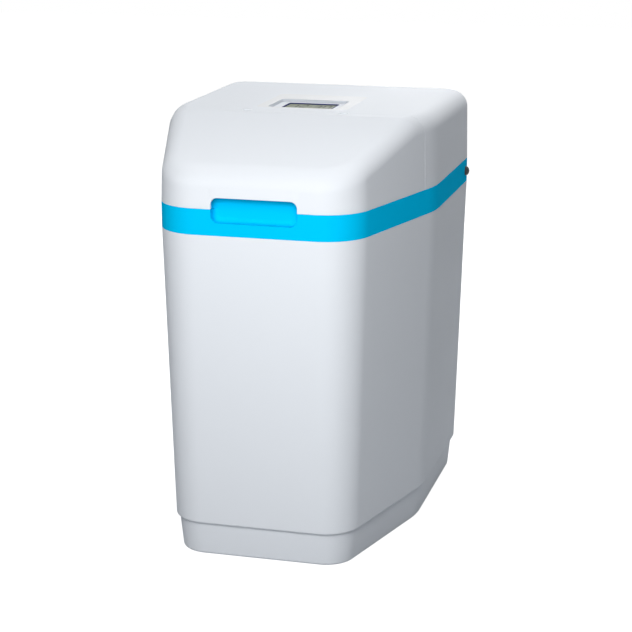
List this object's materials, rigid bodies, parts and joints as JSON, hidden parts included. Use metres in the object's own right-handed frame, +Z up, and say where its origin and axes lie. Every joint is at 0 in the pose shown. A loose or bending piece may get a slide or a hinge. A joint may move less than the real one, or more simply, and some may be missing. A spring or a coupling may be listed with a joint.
{
  "type": "water softener",
  "caption": "Cabinet water softener with a hinged sloping salt lid, a coloured band with a finger pull, a rear cover with display and keys, and a resin tank with motor-driven valve inside.",
  "frame": {"origin": "on the floor under the middle of the casing, on the underside of the cabinet", "axes": "+Z up, -Y towards the front with the finger pull, +X to the right seen from the front"},
  "size_m": [0.339, 0.468, 0.511],
  "materials": {
    "white_plastic": "satin moulded ABS",
    "band_plastic": "satin moulded ABS",
    "overlay_film": "matt printed film",
    "window_clear": "clear tinted acrylic",
    "lcd_face": "reflective display",
    "board_green": "solder mask",
    "grey_plastic": "moulded",
    "key_plastic": "moulded",
    "black_rubber": "moulded",
    "black_plastic": "glass-filled, moulded",
    "tank_fibre": "filament-wound",
    "resin_beads": "bead bed",
    "acetal": "moulded",
    "ceramic": "lapped ceramic",
    "steel": "bright",
    "turbine_red": "moulded",
    "float_plastic": "blow-moulded",
    "line_tube": "extruded"
  },
  "bodies": {
    "casing": {"cabinet": "white_plastic", "rear_cover": "white_plastic", "brine_well": "white_plastic", "brine_well_cap": "white_plastic", "salt_grid": "white_plastic", "collar_frame": "band_plastic", "finger_pull": "band_plastic", "panel_overlay": "overlay_film", "display_window": "window_clear", "lcd_module": "lcd_face", "control_board": "board_green", "control_box": "grey_plastic", "drive_plate": "grey_plastic", "overflow_plug": "black_rubber", "neck_seal": "black_rubber", "spindle_seal": "black_rubber", "port_seals": "black_rubber", "power_inlet": "black_plastic", "tank_foot": "black_plastic", "valve_body": "black_plastic", "valve_bonnet": "black_plastic", "drain_elbow": "black_plastic", "resin_tank": "tank_fibre", "resin_bed": "resin_beads", "riser_tube": "acetal", "bottom_distributor": "acetal", "top_distributor": "acetal", "inlet_connector": "acetal", "outlet_connector": "acetal", "turbine_cage": "acetal", "injector": "acetal", "brine_valve": "acetal", "fixed_disc": "ceramic", "hinge_pins": "steel", "bonnet_screws": "steel", "drive_motor": "steel", "brine_line": "line_tube"},
    "salt_lid": {"salt_lid": "white_plastic"},
    "brine_float": {"brine_float": "float_plastic"},
    "valve_rotor": {"drive_gear": "acetal", "valve_spindle": "steel", "rotor_disc": "ceramic"},
    "motor_pinion": {"motor_pinion": "acetal"},
    "flow_turbine": {"flow_turbine": "turbine_red"},
    "key_menu": {"key_menu": "key_plastic"},
    "key_down": {"key_down": "key_plastic"},
    "key_up": {"key_up": "key_plastic"},
    "key_set": {"key_set": "key_plastic"}
  },
  "joints": [
    {"name": "lid_hinge", "type": "hinge", "parent": "casing", "child": "salt_lid", "pos_m": [0, -0.0505, 0.507], "axis": [-1, 0, 0], "range_deg": [0, 95]},
    {"name": "float_lift", "type": "slide", "parent": "casing", "child": "brine_float", "axis": [0, 0, 1], "range_m": [0, 0.06]},
    {"name": "rotor_spin", "type": "hinge", "parent": "casing", "child": "valve_rotor", "pos_m": [0, 0.1049, 0.45], "axis": [0, 0, 1], "continuous": true},
    {"name": "pinion_spin", "type": "hinge", "parent": "casing", "child": "motor_pinion", "pos_m": [0, 0.1409, 0.472], "axis": [0, 0, 1], "continuous": true},
    {"name": "turbine_spin", "type": "hinge", "parent": "casing", "child": "flow_turbine", "pos_m": [0.03, 0.1919, 0.444], "axis": [0, 1, 0], "continuous": true},
    {"name": "key_menu_press", "type": "slide", "parent": "casing", "child": "key_menu", "axis": [0, 0, -1], "range_m": [0, 0.0008], "stiffness_N_per_m": 500},
    {"name": "key_down_press", "type": "slide", "parent": "casing", "child": "key_down", "axis": [0, 0, -1], "range_m": [0, 0.0008], "stiffness_N_per_m": 500},
    {"name": "key_up_press", "type": "slide", "parent": "casing", "child": "key_up", "axis": [0, 0, -1], "range_m": [0, 0.0008], "stiffness_N_per_m": 500},
    {"name": "key_set_press", "type": "slide", "parent": "casing", "child": "key_set", "axis": [0, 0, -1], "range_m": [0, 0.0008], "stiffness_N_per_m": 500}
  ],
  "couplings": [
    {"joint": "pinion_spin", "follows": "rotor_spin", "ratio": -3}
  ]
}
